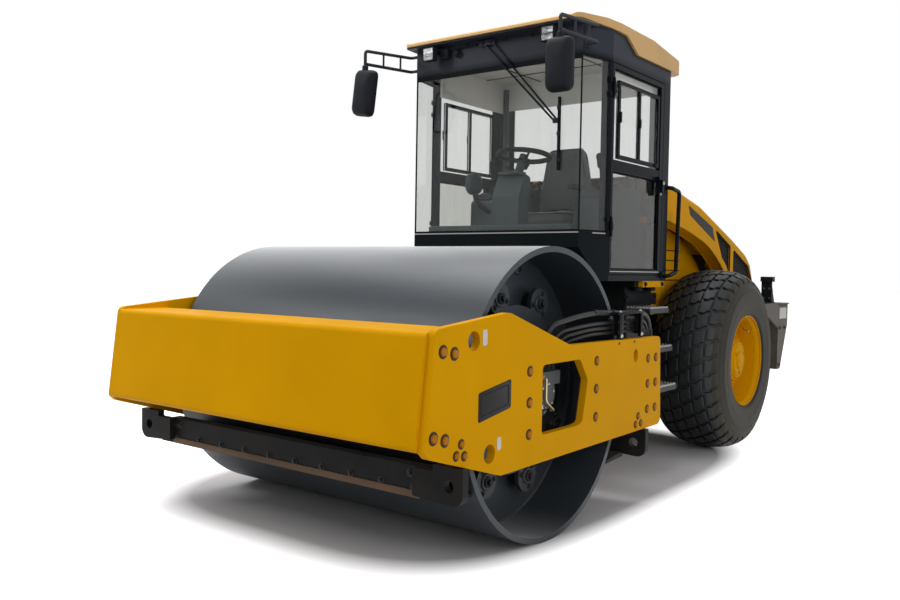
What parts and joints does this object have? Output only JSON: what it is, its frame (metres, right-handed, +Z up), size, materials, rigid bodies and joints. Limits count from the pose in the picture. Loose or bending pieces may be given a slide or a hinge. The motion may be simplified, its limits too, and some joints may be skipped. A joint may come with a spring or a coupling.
{
  "type": "road roller",
  "caption": "Articulated soil compactor with a smooth drum in a front frame, a closed cab, and a hooded engine over a rear axle with block-tread tyres.",
  "frame": {"origin": "on the ground, in the middle of the machine length and width", "axes": "-Y is the way it drives, +X is its left side, +Z is up"},
  "size_m": [2.37, 5.7626, 3.0057],
  "materials": {
    "machine_yellow": "gloss",
    "frame_black": "satin",
    "cab_black": "gloss",
    "roof_tan": "satin",
    "drum_steel": "satin",
    "drum_grey": "satin",
    "mount_rubber": "matte",
    "motor_iron": "matte",
    "rod_chrome": "polished",
    "engine_grey": "matte",
    "tail_grey": "matte",
    "tyre_rubber": "matte",
    "cab_glass": "clear",
    "trim_grey": "matte",
    "seat_cloth": "matte",
    "lamp_housing": "matte",
    "step_steel": "satin",
    "hose_rubber": "matte",
    "grille_black": "matte"
  },
  "bodies": {
    "rear_frame": {"access_steps": "step_steel", "cab_brackets": "machine_yellow", "cab_frame": "cab_black", "cab_platform": "frame_black", "corner_windows": "cab_glass", "door_hinges": "cab_black", "engine_block": "engine_grey", "grab_rails": "cab_black", "hood_hinge_posts": "frame_black", "mirror_arms": "cab_black", "mirror_heads": "cab_black", "rear_axle": "frame_black", "rear_frame": "frame_black", "rear_posts": "frame_black", "rear_window": "cab_glass", "roof_cap": "roof_tan", "roof_skirt": "cab_black", "seat_base": "trim_grey", "seat_cushions": "seat_cloth", "side_consoles": "trim_grey", "side_panels": "machine_yellow", "steering_column": "trim_grey", "steering_wheel": "trim_grey", "tail_box": "tail_grey", "windshield": "cab_glass", "wiper": "cab_black", "work_lights": "lamp_housing"},
    "front_frame": {"drum_hoses": "hose_rubber", "drum_motor": "motor_iron", "drum_supports": "frame_black", "front_beam": "machine_yellow", "front_scraper": "frame_black", "hose_bracket": "frame_black", "rear_cross_beam": "machine_yellow", "rear_scraper": "frame_black", "side_plate_left": "machine_yellow", "side_plate_right": "machine_yellow", "tie_down_lugs": "frame_black"},
    "yoke": {"pivot_yoke": "frame_black"},
    "drum": {"drive_plate": "drum_grey", "drum_axle": "drum_grey", "drum_shell": "drum_steel", "rubber_mounts": "mount_rubber"},
    "wheel_left": {"tyre_left": "tyre_rubber", "rim_left": "machine_yellow"},
    "wheel_right": {"tyre_right": "tyre_rubber", "rim_right": "machine_yellow"},
    "door_left": {"door_left": "cab_black", "door_glass_left": "cab_glass"},
    "door_right": {"door_right": "cab_black", "door_glass_right": "cab_glass"},
    "hood": {"hood_shell": "machine_yellow", "hood_grilles": "grille_black"},
    "barrel_left": {"steering_barrel_left": "frame_black"},
    "barrel_right": {"steering_barrel_right": "frame_black"},
    "rod_left": {"steering_rod_left": "rod_chrome"},
    "rod_right": {"steering_rod_right": "rod_chrome"}
  },
  "joints": [
    {"name": "steering", "type": "hinge", "parent": "rear_frame", "child": "yoke", "pos_m": [0, -0.2225, 0.75], "axis": [0, 0, 1], "range_deg": [-33, 33]},
    {"name": "oscillation", "type": "hinge", "parent": "yoke", "child": "front_frame", "pos_m": [0, -0.2225, 0.75], "axis": [0, 1, 0], "range_deg": [-10, 10]},
    {"name": "drum_spin", "type": "hinge", "parent": "front_frame", "child": "drum", "pos_m": [0, -1.7175, 0.762], "axis": [1, 0, 0], "continuous": true},
    {"name": "wheel_left_spin", "type": "hinge", "parent": "rear_frame", "child": "wheel_left", "pos_m": [0.79, 1.2725, 0.712], "axis": [1, 0, 0], "continuous": true},
    {"name": "wheel_right_spin", "type": "hinge", "parent": "rear_frame", "child": "wheel_right", "pos_m": [-0.79, 1.2725, 0.712], "axis": [1, 0, 0], "continuous": true},
    {"name": "door_left_hinge", "type": "hinge", "parent": "rear_frame", "child": "door_left", "pos_m": [0.745, -0.4775, 2.06], "axis": [0, 0, -1], "range_deg": [0, 90]},
    {"name": "door_right_hinge", "type": "hinge", "parent": "rear_frame", "child": "door_right", "pos_m": [-0.745, -0.4775, 2.06], "axis": [0, 0, 1], "range_deg": [0, 90]},
    {"name": "hood_hinge", "type": "hinge", "parent": "rear_frame", "child": "hood", "pos_m": [0, 0.4585, 2.108], "axis": [1, 0, 0], "range_deg": [0, 55]},
    {"name": "barrel_left_swing", "type": "hinge", "parent": "rear_frame", "child": "barrel_left", "pos_m": [0.3, 0.3975, 0.75], "axis": [0, 0, 1], "range_deg": [-10, 10]},
    {"name": "rod_left_stroke", "type": "slide", "parent": "barrel_left", "child": "rod_left", "axis": [-0.1122, -0.9937, 0], "range_m": [-0.16, 0.16]},
    {"name": "barrel_right_swing", "type": "hinge", "parent": "rear_frame", "child": "barrel_right", "pos_m": [-0.3, 0.3975, 0.75], "axis": [0, 0, 1], "range_deg": [-10, 10]},
    {"name": "rod_right_stroke", "type": "slide", "parent": "barrel_right", "child": "rod_right", "axis": [0.1122, -0.9937, 0], "range_m": [-0.16, 0.16]}
  ],
  "couplings": [
    {"joint": "barrel_left_swing", "follows": "steering", "ratio": -0.05389},
    {"joint": "rod_left_stroke", "follows": "steering", "m_per_rad": -0.2197},
    {"joint": "barrel_right_swing", "follows": "steering", "ratio": -0.05389},
    {"joint": "rod_right_stroke", "follows": "steering", "m_per_rad": 0.2197}
  ]
}
